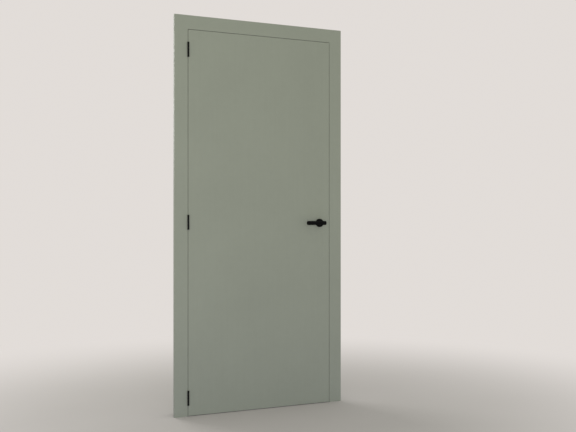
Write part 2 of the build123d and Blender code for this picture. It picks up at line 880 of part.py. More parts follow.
def strike_slab(play=0.0):
    """Strike plate's blank, let into the rebate face of the latch-side casing."""
    wide, tall = strike_width + 2 * play, strike_height + 2 * play
    outline = Pos(leaf_mid_y, latch_z) * RectangleRounded(wide, tall, strike_corner_radius)
    sheet = Plane(origin=(opening_half, 0, 0), x_dir=(0, 1, 0), z_dir=(1, 0, 0)) * outline
    return extrude(sheet, amount=strike_thickness, dir=(1, 0, 0))


def strike_screw_places():
    """Head centre and direction of the strike's two screws."""
    reach = strike_height / 2 - strike_screw_inset
    return [((opening_half, leaf_mid_y, latch_z + way * reach), (1, 0, 0)) for way in (-1, 1)]


def strike_mouth(x0, x1, play=0.0):
    """Space that takes the latch bolt, between two depths in the frame."""
    wide = latch_thickness / 2 + strike_margin_side + play
    tall = latch_tall / 2 + strike_margin_end + play
    return block(x0, x1, leaf_mid_y - wide, leaf_mid_y + wide, latch_z - tall, latch_z + tall)


def strike_plate():
    """Strike plate with the bolt's mouth and two countersunk holes."""
    back = opening_half + strike_thickness
    plate = strike_slab() - strike_mouth(opening_half, back)
    for start, way in strike_screw_places():
        plate -= screw_seat(start, way, strike_screw)
    return plate


def strike_box():
    """Moulded cup behind the strike plate."""
    x0 = opening_half + strike_thickness
    x1 = x0 + strike_box_depth
    return strike_mouth(x0, x1, strike_box_wall) - strike_mouth(x0, x1 - strike_box_wall)


def strike_recess(casing):
    """The latch-side casing cut for the strike plate, its box and its screws."""
    x0 = opening_half
    x1 = x0 + strike_thickness + strike_box_depth
    casing -= strike_slab(plate_clearance)
    casing -= strike_mouth(x0, x1 + glue_line, strike_box_wall + glue_line)
    for start, way in strike_screw_places():
        casing -= screw_seat(start, way, strike_screw)
    return casing


def frame_parts():
    """The frame's own pieces, by name."""
    seal = seal_section()
    side_seal = upright(seal, opening_half, opening_top - seal_inset)
    side = side_front_casing()
    for hole in fixing_holes():
        side -= hole
    lining, back = side_lining(), side_back_casing()
    return {
        "front_casing_hinge_side": hinge_recess(mirrored(side), -1),
        "front_casing_latch_side": strike_recess(side),
        "front_casing_head": head_front_casing(),
        "lining_hinge_side": mirrored(lining),
        "lining_latch_side": lining,
        "lining_head": head_lining(),
        "back_casing_hinge_side": mirrored(back),
        "back_casing_latch_side": back,
        "back_casing_head": head_back_casing(),
        "seal_hinge_side": mirrored(side_seal),
        "seal_latch_side": side_seal,
        "seal_head": crosspiece(seal, opening_top, lining_half),
        "lining_screws": [countersunk(*place, lining_screw) for place in lining_screws()],
        "strike_plate": strike_plate(),
        "strike_box": strike_box(),
        "strike_screws": [countersunk(*place, strike_screw) for place in strike_screw_places()],
    }


def hinge_parts():
    """The three hinges, with the screws and washers of all of them together."""
    parts = {"hinge_screws_frame": [], "hinge_screws_leaf": [], "hinge_washers": []}
    for name, z in hinge_heights.items():
        parts[f"hinge_{name}_frame_leaf"] = hinge_leaf(z, -1)
        parts[f"hinge_{name}_door_leaf"] = hinge_leaf(z, 1)
        parts[f"hinge_{name}_pin"] = hinge_pin(z)
        parts["hinge_washers"] += hinge_washers(z)
        for side, group in ((-1, "hinge_screws_frame"), (1, "hinge_screws_leaf")):
            parts[group] += [countersunk(*place, hinge_screw_size(side))
                             for place in hinge_screw_places(z, side)]
    return parts


def leaf_parts():
    """The built-up leaf, by name."""
    return {
        "skin_front": leaf_skin(front=True),
        "skin_back": leaf_skin(front=False),
        "stile_hinge_side": hinge_stile(),
        "stile_latch_side": latch_stile(),
        "rail_top": rail(leaf_top - top_rail_height, leaf_top),
        "rail_bottom": rail(floor_gap, floor_gap + bottom_rail_height),
        "lock_block": lock_block(),
        "core_board": tubular_core(),
    }


def latch_parts():
    """The mortise latch, by name."""
    cover_y = leaf_mid_y + case_thickness / 2
    return {
        "latch_case": latch_case(),
        "latch_cover": latch_cover(),
        "latch_cover_screws": [countersunk((x, cover_y, z), (0, -1, 0), cover_screw)
                               for x, z in cover_post_places()],
        "latch_forend": forend(),
        "latch_forend_screws": [countersunk(*place, forend_screw)
                                for place in forend_screw_places()],
        "latch_bolt": latch_bolt(),
        "latch_spring": latch_spring(),
        "latch_follower": follower(),
        "lever_return_spring": return_strip(),
    }


def handle_parts():
    """Both levers with their roses, by name."""
    return {
        "lever_front": lever(-1),
        "lever_back": lever(1),
        "spindle": spindle(),
        "grub_screws": [grub_screw(-1), grub_screw(1)],
        "rose_base_front": rose_base(-1),
        "rose_base_back": rose_base(1),
        "rose_cover_front": rose_cover(-1),
        "rose_cover_back": rose_cover(1),
        "rose_screws": [countersunk(*place, rose_screw) for place in rose_screw_places()],
    }


for parts in (frame_parts(), hinge_parts(), leaf_parts(), latch_parts(), handle_parts()):
    for node, shape in parts.items():
        whole = Compound(shape) if isinstance(shape, list) else shape
        export_step(whole, f"parts/{node}.step")
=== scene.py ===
import logging
import math
from dataclasses import dataclass, replace
from enum import Enum

import bmesh
import bpy
from mathutils import Euler, Matrix, Vector


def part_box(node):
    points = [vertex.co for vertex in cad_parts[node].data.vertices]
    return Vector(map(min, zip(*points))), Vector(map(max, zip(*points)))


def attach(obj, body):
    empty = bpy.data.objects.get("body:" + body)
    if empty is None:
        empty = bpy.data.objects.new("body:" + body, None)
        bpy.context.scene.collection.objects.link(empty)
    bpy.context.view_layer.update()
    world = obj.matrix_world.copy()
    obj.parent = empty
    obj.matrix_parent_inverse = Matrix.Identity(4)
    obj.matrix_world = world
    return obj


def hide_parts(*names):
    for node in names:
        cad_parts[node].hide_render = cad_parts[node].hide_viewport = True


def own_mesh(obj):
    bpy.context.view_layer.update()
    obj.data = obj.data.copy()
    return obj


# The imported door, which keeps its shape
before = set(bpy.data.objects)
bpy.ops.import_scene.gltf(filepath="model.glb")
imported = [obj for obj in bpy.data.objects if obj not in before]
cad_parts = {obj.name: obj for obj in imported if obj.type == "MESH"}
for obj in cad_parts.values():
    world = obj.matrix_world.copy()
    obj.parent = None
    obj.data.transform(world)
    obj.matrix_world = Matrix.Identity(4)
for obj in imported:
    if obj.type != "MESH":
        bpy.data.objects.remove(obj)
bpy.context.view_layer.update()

LOG = logging.getLogger("interior_door")

Colour = tuple[float, float, float]
Place = tuple[float, float, float]
Span = tuple[float, float]
Socket = bpy.types.NodeSocket
Element = bmesh.types.BMVert | bmesh.types.BMEdge | bmesh.types.BMFace

# Points that lie closer together than this, in metres, count as one
WELD = 1e-6
# Faces that meet at more than this angle, in degrees, share a sharp edge
SHARP_ANGLE = 35.0
# A noise pattern stays between these values over most of a surface
NOISE_LOW, NOISE_HIGH = 0.3, 0.7


class Way(Enum):
    """Direction along one of the door's axes, as seen from the front."""

    RIGHT = (1.0, 0.0, 0.0)
    LEFT = (-1.0, 0.0, 0.0)
    BACK = (0.0, 1.0, 0.0)
    DOWN = (0.0, 0.0, -1.0)


class Lay(Enum):
    """Direction in which a surface was rolled, brushed or drawn, as scales of its pattern."""

    UPRIGHT = (1.0, 1.0, 0.03)
    ACROSS = (0.03, 1.0, 1.0)
    INWARD = (1.0, 0.03, 1.0)
    NONE = (1.0, 1.0, 1.0)


class Tip(Enum):
    """End of a screw's shank, in shares of the core's radius.

    Attributes:
        length: From where it leaves the core to its end.
        radius: Its radius at the end.
    """

    POINTED = (2.2, 0.08)
    BLUNT = (0.3, 0.75)

    def __init__(self, length: float, radius: float) -> None:
        """Name the values."""
        self.length, self.radius = length, radius


class Recess(Enum):
    """Hole that a screw is driven by, in shares of the radius of the screw's end.

    Attributes:
        sides: In how many directions it has a side.
        reach: From its middle to the end of an arm, or to a side of the hexagon.
        half_width: Half the width of an arm, or of the hexagon.
        depth: From its mouth to its floor.
        taper: Size of its floor, as a share of its mouth's.
    """

    CROSS = (4, 0.56, 0.13, 0.55, 0.45)
    HEXAGON = (6, 0.6, 0.6, 1.0, 0.98)

    def __init__(self, sides: int, reach: float, half_width: float, depth: float,
                 taper: float) -> None:
        """Name the values."""
        self.sides, self.reach, self.half_width = sides, reach, half_width
        self.depth, self.taper = depth, taper

    def ways(self) -> list[Vector]:
        """Give the directions in which the hole has a side, as seen from its middle."""
        turns = (math.radians(360.0 / self.sides * count) for count in range(self.sides))
        return [Vector((math.cos(turn), math.sin(turn), 0.0)) for turn in turns]

    def holds(self, place: Vector) -> bool:
        """Tell whether a point of the screw's end lies in the hole's mouth.

        Args:
            place: The point, in shares of the end's radius.

        Returns:
            Whether it does.
        """
        if self is Recess.CROSS:
            across, along = sorted((abs(place.x), abs(place.y)))
            return across < self.half_width and along < self.reach
        return all(place.dot(way) < self.half_width for way in self.ways())


class NodeSheet:
    """A node tree, with short calls for what materials and the world share."""

    def __init__(self, tree: bpy.types.NodeTree) -> None:
        """Take a tree and empty it.

        Args:
            tree: The tree.
        """
        self.tree = tree
        tree.nodes.clear()

    def node(self, kind: str, **settings: object) -> bpy.types.Node:
        """Add a node.

        Args:
            kind: The node's type.
            settings: Values for the node's own properties.

        Returns:
            The node.
        """
        made = self.tree.nodes.new(kind)
        for key, value in settings.items():
            setattr(made, key, value)
        return made

    def link(self, source: Socket, target: Socket) -> None:
        """Join an output to an input."""
        self.tree.links.new(source, target)

    def mixed(self, share: Socket, first: Socket, second: Socket) -> Socket:
        """Mix two shaders.

        Args:
            share: How much there is of the second one, from 0 to 1.
            first: The first shader.
            second: The second shader.

        Returns:
            The mixed shader.
        """
        made = self.node("ShaderNodeMixShader")
        for source, target in zip((share, first, second), made.inputs):
            self.link(source, target)
        return made.outputs["Shader"]

    def seen_directly(self) -> Socket:
        """Tell camera, glossy and transmitted rays from the rays that light the object.

        Returns:
            1 for those rays and 0 for the others.
        """
        path = self.node("ShaderNodeLightPath")
        seen = path.outputs["Is Camera Ray"]
        for name in ("Is Glossy Ray", "Is Transmission Ray"):
            both = self.node("ShaderNodeMath", operation="MAXIMUM")
            self.link(seen, both.inputs[0])
            self.link(path.outputs[name], both.inputs[1])
            seen = both.outputs["Value"]
        return seen


class SurfaceSheet(NodeSheet):
    """A material's nodes round one shader, with short calls for what the finishes share."""

    def __init__(self, name: str) -> None:
        """Start a material with one shader.

        Args:
            name: The material's name.
        """
        self.material = bpy.data.materials.new(name)
        self.material.use_nodes = True
        super().__init__(self.material.node_tree)
        self.shader = self.node("ShaderNodeBsdfPrincipled")
        self.surface = self.node("ShaderNodeOutputMaterial").inputs["Surface"]
        self.link(self.shader.outputs["BSDF"], self.surface)
        self.coordinates = self.node("ShaderNodeTexCoord").outputs["Object"]

    def fix(self, **values: float) -> None:
        """Set plain values on the shader's own sockets, named with _ for each space."""
        for key, value in values.items():
            self.shader.inputs[key.replace("_", " ")].default_value = value

    def stretched(self, lay: Lay) -> Socket:
        """Give the object's coordinates, drawn out along a lay.

        Args:
            lay: The direction of the lay.

        Returns:
            The coordinates.
        """
        mapping = self.node("ShaderNodeMapping")
        mapping.inputs["Scale"].default_value = lay.value
        self.link(self.coordinates, mapping.inputs["Vector"])
        return mapping.outputs["Vector"]

    def noise(self, scale: float, detail: float, lay: Lay = Lay.NONE) -> Socket:
        """Add a cloudy pattern.

        Args:
            scale: Waves in a metre.
            detail: How many finer octaves it has.
            lay: The direction in which it is drawn out.

        Returns:
            The pattern's value.
        """
        made = self.node("ShaderNodeTexNoise")
        made.inputs["Scale"].default_value = scale
        made.inputs["Detail"].default_value = detail
        self.link(self.stretched(lay), made.inputs["Vector"])
        return made.outputs["Fac"]

    def chips(self, scale: float, lay: Lay) -> tuple[Socket, Socket]:
        """Add a pattern of flat chips.

        Args:
            scale: Chips in a metre.
            lay: The direction in which the chips lie.

        Returns:
            Each chip's random colour, and the distance from its middle.
        """
        made = self.node("ShaderNodeTexVoronoi")
        made.inputs["Scale"].default_value = scale
        self.link(self.stretched(lay), made.inputs["Vector"])
        return made.outputs["Color"], made.outputs["Distance"]

    def spread(self, value: Socket, span: Span) -> Socket:
        """Bring a pattern's middle range to between two values.

        Args:
            value: The pattern.
            span: What its low and its high parts become.

        Returns:
            The new value.
        """
        made = self.node("ShaderNodeMapRange")
        made.inputs["From Min"].default_value = NOISE_LOW
        made.inputs["From Max"].default_value = NOISE_HIGH
        made.inputs["To Min"].default_value = span[0]
        made.inputs["To Max"].default_value = span[1]
        self.link(value, made.inputs["Value"])
        return made.outputs["Result"]

    def ramp(self, value: Socket, stops: list[tuple[float, Colour]]) -> Socket:
        """Turn a pattern into colours.

        Args:
            value: The pattern.
            stops: Places from 0 to 1 with their colours.

        Returns:
            The colour.
        """
        made = self.node("ShaderNodeValToRGB")
        elements = made.color_ramp.elements
        for place, _ in stops[1:-1]:
            elements.new(place)
        for element, (place, colour) in zip(elements, stops):
            element.position = place
            element.color = (*colour, 1.0)
        self.link(value, made.inputs["Fac"])
        return made.outputs["Color"]

    def shaded(self, colour: Socket, value: Socket, depth: float) -> Socket:
        """Darken a colour by a pattern.

        Args:
            colour: The colour.
            value: The pattern, whose low parts get darkest.
            depth: How much is taken off at most, from 0 to 1.

        Returns:
            The new colour.
        """
        grey = self.spread(value, (1.0 - depth, 1.0))
        made = self.node("ShaderNodeMix", data_type="RGBA", blend_type="MULTIPLY")
        made.inputs["Factor"].default_value = 1.0
        self.link(colour, made.inputs["A"])
        self.link(grey, made.inputs["B"])
        return made.outputs["Result"]

    def coat(self, colour: Socket, gloss: Socket, roughness: Span) -> None:
        """Give the shader its colour, and a roughness that follows a pattern.

        Args:
            colour: The colour.
            gloss: The pattern.
            roughness: The roughness of its low and of its high parts.
        """
        self.link(colour, self.shader.inputs["Base Color"])
        self.link(self.spread(gloss, roughness), self.shader.inputs["Roughness"])

    def bump(self, layers: list[tuple[Socket, float]]) -> None:
        """Raise the surface by patterns, one over the other.

        Args:
            layers: Each pattern with its height in metres.
        """
        normal = None
        for value, height in layers:
            made = self.node("ShaderNodeBump")
            made.inputs["Strength"].default_value = 1.0
            made.inputs["Distance"].default_value = height
            self.link(value, made.inputs["Height"])
            if normal:
                self.link(normal, made.inputs["Normal"])
            normal = made.outputs["Normal"]
        self.link(normal, self.shader.inputs["Normal"])


@dataclass(frozen=True)
class Finish:
    """A surface finish, whose material is made once and shared by the pieces that wear it.

    Scales are in waves to the metre, heights in metres, and tones and depths are shares of the
    finish's colour.
    """

    slot: str
    colour: Colour
    lay: Lay = Lay.NONE

    def laid(self, lay: Lay) -> "Finish":
        """Give the same finish with another lay."""
        return replace(self, lay=lay)

    def material(self) -> bpy.types.Material:
        """Give the finish's material, made when it is first asked for."""
        name = f"{self.slot}_{type(self).__name__}_{self.lay.name}".lower()
        return bpy.data.materials.get(name) or self.make(name)

    def make(self, name: str) -> bpy.types.Material:
        """Make the material, which each finish does in its own way."""
        raise NotImplementedError(name)

    def tones(self, shares: Span) -> list[tuple[float, Colour]]:
        """Give ramp stops from a darker to a lighter share of the finish's colour."""
        return [(place, tuple(part * share for part in self.colour))
                for place, share in zip((NOISE_LOW, NOISE_HIGH), shares)]


@dataclass(frozen=True)
class SatinPaint(Finish):
    """Sage satin paint, rolled on smooth board."""

    slot: str = "sage_paint"
    colour: Colour = (0.265, 0.287, 0.228)
    lay: Lay = Lay.UPRIGHT
    drift_scale: float = 2.4
    drift_tones: Span = (0.975, 1.025)
    mottle_scale: float = 34.0
    track_scale: float = 75.0
    track_height: float = 0.00005
    stipple_scale: float = 420.0
    stipple_height: float = 0.00010
    shade_depth: float = 0.02
    roughness: Span = (0.40, 0.50)
    specular: float = 0.35

    def make(self, name: str) -> bpy.types.Material:
        """Make the paint: slow drifts of tone, faint roller tracks and a fine stipple.

        Args:
            name: The material's name.

        Returns:
            The material.
        """
        sheet = SurfaceSheet(name)
        drift = sheet.noise(self.drift_scale, detail=2.0)
        mottle = sheet.noise(self.mottle_scale, detail=5.0)
        tracks = sheet.noise(self.track_scale, detail=4.0, lay=self.lay)
        stipple = sheet.noise(self.stipple_scale, detail=4.0)
        colour = sheet.ramp(drift, self.tones(self.drift_tones))
        for pattern in (mottle, tracks):
            colour = sheet.shaded(colour, pattern, self.shade_depth)
        sheet.coat(colour, tracks, self.roughness)
        sheet.bump([(tracks, self.track_height), (stipple, self.stipple_height)])
        sheet.fix(Specular_IOR_Level=self.specular)
        return sheet.material


@dataclass(frozen=True)
class BlackCoat(Finish):
    """Matt black coating baked on metal."""

    slot: str = "black_metal"
    colour: Colour = (0.0022, 0.0022, 0.0024)
    cloud_scale: float = 60.0
    cloud_tones: Span = (0.85, 1.25)
    grain_scale: float = 1900.0
    grain_depth: float = 0.25
    grain_height: float = 0.00003
    roughness: Span = (0.46, 0.58)
    specular: float = 0.07

    def make(self, name: str) -> bpy.types.Material:
        """Make the coating: an even black with cloudy gloss and a powdery grain.

        Args:
            name: The material's name.

        Returns:
            The material.
        """
        sheet = SurfaceSheet(name)
        cloud = sheet.noise(self.cloud_scale, detail=4.0)
        grain = sheet.noise(self.grain_scale, detail=3.0)
        colour = sheet.ramp(cloud, self.tones(self.cloud_tones))
        sheet.coat(sheet.shaded(colour, grain, self.grain_depth), cloud, self.roughness)
        sheet.bump([(grain, self.grain_height)])
        sheet.fix(Specular_IOR_Level=self.specular)
        return sheet.material


@dataclass(frozen=True)
class ZincSteel(Finish):
    """Zinc-plated steel with the marks of rolling or drawing."""

    slot: str = "plain_steel"
    colour: Colour = (0.56, 0.56, 0.58)
    lay: Lay = Lay.INWARD
    cloud_scale: float = 90.0
    cloud_tones: Span = (0.82, 1.08)
    drawn_scale: float = 2600.0
    drawn_depth: float = 0.12
    drawn_height: float = 0.00001
    roughness: Span = (0.28, 0.44)

    def make(self, name: str) -> bpy.types.Material:
        """Make the plating: cloudy grey metal with fine drawn lines.

        Args:
            name: The material's name.

        Returns:
            The material.
        """
        sheet = SurfaceSheet(name)
        cloud = sheet.noise(self.cloud_scale, detail=5.0)
        drawn = sheet.noise(self.drawn_scale, detail=2.0, lay=self.lay)
        colour = sheet.ramp(cloud, self.tones(self.cloud_tones))
        sheet.coat(sheet.shaded(colour, drawn, self.drawn_depth), drawn, self.roughness)
        sheet.bump([(drawn, self.drawn_height)])
        sheet.fix(Metallic=1.0)
        return sheet.material


@dataclass(frozen=True)
class Chipboard(Finish):
    """Pressed wood chips, unpainted."""

    slot: str = "raw_board"
    colour: Colour = (0.5, 0.38, 0.24)
    dark_colour: Colour = (0.30, 0.19, 0.10)
    pale_colour: Colour = (0.62, 0.50, 0.33)
    lay: Lay = Lay.UPRIGHT
    chip_scale: float = 340.0
    chip_height: float = 0.0002
    fibre_scale: float = 900.0
    fibre_depth: float = 0.25
    fibre_height: float = 0.0001
    roughness: Span = (0.72, 0.88)

    def make(self, name: str) -> bpy.types.Material:
        """Make the board: chips of several browns with fibres in them.

        Args:
            name: The material's name.

        Returns:
            The material.
        """
        sheet = SurfaceSheet(name)
        chip, middle = sheet.chips(self.chip_scale, self.lay)
        fibre = sheet.noise(self.fibre_scale, detail=3.0, lay=self.lay)
        colour = sheet.ramp(chip, [
            (0.1, self.dark_colour), (0.5, self.colour), (0.9, self.pale_colour)])
        sheet.coat(sheet.shaded(colour, fibre, self.fibre_depth), fibre, self.roughness)
        sheet.bump([(middle, self.chip_height), (fibre, self.fibre_height)])
        return sheet.material


@dataclass(frozen=True)
class SoftRubber(Finish):
    """Soft extruded sealing strip."""

    slot: str = "soft_seal"
    colour: Colour = (0.2, 0.2, 0.19)
    lay: Lay = Lay.UPRIGHT
    bloom_scale: float = 70.0
    bloom_tones: Span = (0.9, 1.15)
    skin_scale: float = 1500.0
    skin_depth: float = 0.1
    skin_height: float = 0.00004
    roughness: Span = (0.62, 0.78)

    def make(self, name: str) -> bpy.types.Material:
        """Make the strip: a dull skin with a chalky bloom and lines along its length.

        Args:
            name: The material's name.

        Returns:
            The material.
        """
        sheet = SurfaceSheet(name)
        bloom = sheet.noise(self.bloom_scale, detail=5.0)
        skin = sheet.noise(self.skin_scale, detail=3.0, lay=self.lay)
        colour = sheet.ramp(bloom, self.tones(self.bloom_tones))
        sheet.coat(sheet.shaded(colour, skin, self.skin_depth), bloom, self.roughness)
        sheet.bump([(skin, self.skin_height)])
        return sheet.material


@dataclass(frozen=True)
class MouldedPlastic(Finish):
    """Hard plastic with the texture of its mould."""

    slot: str = "moulded_cup"
    colour: Colour = (0.014, 0.014, 0.015)
    flow_scale: float = 45.0
    flow_tones: Span = (0.9, 1.2)
    texture_scale: float = 2200.0
    texture_depth: float = 0.1
    texture_height: float = 0.00002
    roughness: Span = (0.42, 0.56)

    def make(self, name: str) -> bpy.types.Material:
        """Make the plastic: faint flow marks under a fine spark-eroded texture.

        Args:
            name: The material's name.

        Returns:
            The material.
        """
        sheet = SurfaceSheet(name)
        flow = sheet.noise(self.flow_scale, detail=2.0)
        texture = sheet.noise(self.texture_scale, detail=2.0)
        colour = sheet.ramp(flow, self.tones(self.flow_tones))
        sheet.coat(sheet.shaded(colour, texture, self.texture_depth), texture, self.roughness)
        sheet.bump([(texture, self.texture_height)])
        return sheet.material


def put_in_scene(name: str, data: bpy.types.ID) -> bpy.types.Object:
    """Put a mesh, lamp or camera in the scene.

    Args:
        name: The object's name.
        data: What it shows.

    Returns:
        The object.
    """
    made = bpy.data.objects.new(name, data)
    bpy.context.scene.collection.objects.link(made)
    return made


def as_mesh(name: str, shape: bmesh.types.BMesh) -> bpy.types.Mesh:
    """Turn a bmesh into a mesh.

    Args:
        name: The mesh's name.
        shape: The bmesh. It is freed.

    Returns:
        The mesh.
    """
    mesh = bpy.data.meshes.new(name)
    shape.to_mesh(mesh)
    shape.free()
    return mesh


def as_piece(name: str, shape: bmesh.types.BMesh, finish: Finish, body: str,
             replaced: str) -> bpy.types.Object:
    """Turn a bmesh into a finished piece that rides on a body.

    Args:
        name: The piece's name.
        shape: Its shape, in the door's own frame. It is freed.
        finish: Its finish.
        body: The body that it rides on.
        replaced: The CAD node that it stands for.

    Returns:
        The piece.
    """
    bmesh.ops.recalc_face_normals(shape, faces=shape.faces)
    mesh = as_mesh(name, shape)
    mesh.shade_smooth()
    mesh.set_sharp_from_angle(angle=math.radians(SHARP_ANGLE))
    mesh.materials.append(finish.material())
    piece = put_in_scene(name, mesh)
    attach(piece, body)
    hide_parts(replaced)
    return piece


def apply_finish(finish: Finish, *names: str) -> list[bpy.types.Object]:
    """Give CAD nodes a finish.

    Args:
        finish: The finish.
        names: The nodes' names.

    Returns:
        The nodes.
    """
    nodes = [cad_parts[name] for name in names]
    for node in nodes:
        for holder in node.material_slots:
            holder.material = finish.material()
    return nodes


def solids(node: str) -> list[tuple[Vector, Vector]]:
    """Measure the separate solids of a CAD node.

    Args:
        node: The node's name.

    Returns:
        The lowest and highest corner of each solid, in a fixed order.
    """
    copy = bmesh.new()
    copy.from_mesh(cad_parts[node].data)
    bmesh.ops.remove_doubles(copy, verts=copy.verts, dist=WELD)
    left, boxes = set(copy.verts), []
    while left:
        # The group grows while it is walked through, until it holds the whole solid
        group = [left.pop()]
        for vert in group:
            fresh = left.intersection(edge.other_vert(vert) for edge in vert.link_edges)
            left -= fresh
            group.extend(fresh)
        boxes.append(tuple(Vector(pick(vert.co[axis] for vert in group) for axis in range(3))
                           for pick in (min, max)))
    copy.free()
    return sorted(boxes, key=lambda box: tuple(round(part, ndigits=5) for part in box[0]))


@dataclass(frozen=True)
class ScrewForm:
    """Sizes and form of one kind of screw. Lengths in metres.

    Attributes:
        thread_radius: Radius over the thread.
        cone: Height of the head's cone. A screw without a head has none.
        pitch: From one turn of the thread to the next.
        core_share: Radius inside the thread, as a share of the radius over it.
        tip: The shank's end.
        recess: The hole that the screw is driven by.
    """

    thread_radius: float
    cone: float
    pitch: float
    core_share: float = 0.72
    tip: Tip = Tip.POINTED
    recess: Recess = Recess.CROSS

    @property
    def core(self) -> float:
        """Radius inside the thread."""
        return self.thread_radius * self.core_share

    @property
    def headless(self) -> bool:
        """Whether the screw has no head."""
        return self.cone == 0.0


PLATE_SCREW = ScrewForm(thread_radius=0.0019, cone=0.0020, pitch=0.0018)
LINING_SCREW = ScrewForm(thread_radius=0.0025, cone=0.0028, pitch=0.0026)
COVER_SCREW = ScrewForm(thread_radius=0.0014, cone=0.0013, pitch=0.0005, core_share=0.80,
                        tip=Tip.BLUNT)
ROSE_SCREW = ScrewForm(thread_radius=0.0020, cone=0.0020, pitch=0.0007, core_share=0.82,
                       tip=Tip.BLUNT)
GRUB_SCREW = ScrewForm(thread_radius=0.0025, cone=0.0, pitch=0.0008, core_share=0.84,
                       tip=Tip.BLUNT, recess=Recess.HEXAGON)


@dataclass
class ScrewSet:
    """Screws of one kind, each where a CAD node has one.

    Attributes:
        node: The CAD node that the screws stand for.
        body: The body that they ride on.
        heads: The way that their heads face.
        finish: Their finish.
        form: Their kind.
        facing_pairs: Whether those on the hinge side face the other way.
        facets: Sides of a head or a shank.
        thread_steps: Steps in a turn of the thread.
        foot_radius: Radius of the thread's foot, as a share of the core's.
        foot_half_width: Half the width of the thread's foot, as a share of the pitch.
        turn_step: How much further each screw is turned than the last, in degrees.
    """

    node: str
    body: str
    heads: Way
    finish: Finish
    form: ScrewForm
    facing_pairs: bool = False
    facets: int = 28
    thread_steps: int = 14
    foot_radius: float = 0.97
    foot_half_width: float = 0.22
    turn_step: float = 41.0

    def build(self) -> bpy.types.Object:
        """Make the screws and set each in its place.

        Returns:
            The piece.
        """
        whole = bmesh.new()
        for count, (low, high) in enumerate(solids(self.node)):
            seat, size = (low + high) / 2, high - low
            outward = self.outward_at(seat)
            axis = max(range(3), key=lambda part: abs(outward[part]))
            head_radius = size[(axis + 1) % 3] / 2
            screw = self.make_screw(head_radius, size[axis], count)
            seat[axis] = high[axis] if outward[axis] > 0 else low[axis]
            facing = outward.to_track_quat("Z", "Y").to_matrix().to_4x4()
            screw.transform(Matrix.Translation(seat) @ facing)
            whole.from_mesh(screw)
            bpy.data.meshes.remove(screw)
        return as_piece(f"{self.node}_threaded", whole, self.finish, self.body, self.node)

    def outward_at(self, place: Vector) -> Vector:
        """Give the way that a screw's head faces.

        Args:
            place: The screw's middle.

        Returns:
            The direction.
        """
        outward = Vector(self.heads.value)
        return -outward if self.facing_pairs and place.x < 0 else outward

    def make_screw(self, head_radius: float, length: float, count: int) -> bpy.types.Mesh:
        """Make one screw that points down from the origin.

        Args:
            head_radius: Radius of the head's rim.
            length: From the head's face to the tip.
            count: Which screw of the set it is.

        Returns:
            The screw's mesh.
        """
        form, core = self.form, self.form.core
        top = core if form.headless else head_radius
        neck = -form.pitch / 2 if form.headless else -form.cone - (form.thread_radius - core)
        tip_start = form.tip.length * core - length
        stations = [] if form.headless else [(form.thread_radius, -form.cone), (core, neck)]
        stations += [(core, tip_start), (form.tip.radius * core, -length)]
        shape = bmesh.new()
        bmesh.ops.create_circle(shape, cap_ends=True, radius=top, segments=self.facets)
        rim = list(shape.edges)
        radius, height = top, 0.0
        for new_radius, new_height in stations:
            rim = self.next_rim(shape, rim, new_radius / radius, new_height - height)
            radius, height = new_radius, new_height
        bmesh.ops.holes_fill(shape, edges=rim, sides=0)
        self.sink_recess(shape, top)
        self.add_thread(shape, neck, tip_start)
        turn = Matrix.Rotation(math.radians(count * self.turn_step), 4, "Z")
        bmesh.ops.transform(shape, matrix=turn, verts=shape.verts)
        return as_mesh("screw", shape)

    @staticmethod
    def next_rim(shape: bmesh.types.BMesh, rim: list[bmesh.types.BMEdge], share: float,
                 step: float) -> list[bmesh.types.BMEdge]:
        """Extrude a rim to the next station of the screw.

        Args:
            shape: The screw so far.
            rim: The open rim's edges.
            share: The new radius as a share of the old.
            step: How far the new rim is moved along Z.

        Returns:
            The new rim's edges.
        """
        made = bmesh.ops.extrude_edge_only(shape, edges=rim)["geom"]
        verts = [part for part in made if isinstance(part, bmesh.types.BMVert)]
        bmesh.ops.scale(shape, vec=(share, share, 1.0), verts=verts)
        bmesh.ops.translate(shape, vec=(0.0, 0.0, step), verts=verts)
        return [part for part in made if isinstance(part, bmesh.types.BMEdge)]

    def sink_recess(self, shape: bmesh.types.BMesh, top: float) -> None:
        """Press the recess into the end that the screw is driven from.

        Args:
            shape: The screw.
            top: Radius of that end.
        """
        recess = self.form.recess
        for way in recess.ways():
            for reach in sorted({recess.reach, recess.half_width}, reverse=True):
                self.cut_end(shape, way, reach * top)
        chosen = [face for face in self.flat_faces(shape)
                  if recess.holds(face.calc_center_median() / top)]
        made = bmesh.ops.extrude_face_region(shape, geom=chosen)["geom"]
        bmesh.ops.delete(shape, geom=chosen, context="FACES")
        floor = [part for part in made if isinstance(part, bmesh.types.BMVert)]
        bmesh.ops.scale(shape, vec=(recess.taper, recess.taper, 1.0), verts=floor)
        bmesh.ops.translate(shape, vec=(0.0, 0.0, -recess.depth * top), verts=floor)

    def cut_end(self, shape: bmesh.types.BMesh, way: Vector, distance: float) -> None:
        """Cut the faces of the screw's end along a line.

        Args:
            shape: The screw.
            way: The direction across the line.
            distance: From the end's middle to the line.
        """
        flat = self.flat_faces(shape)
        edges = dict.fromkeys(edge for face in flat for edge in face.edges)
        verts = dict.fromkeys(vert for face in flat for vert in face.verts)
        bmesh.ops.bisect_plane(shape, geom=[*flat, *edges, *verts], dist=WELD,
                               plane_co=way * distance, plane_no=way)

    @staticmethod
    def flat_faces(shape: bmesh.types.BMesh) -> list[bmesh.types.BMFace]:
        """Give the faces that lie in the screw's end."""
        return [face for face in shape.faces if abs(face.calc_center_median().z) < WELD]

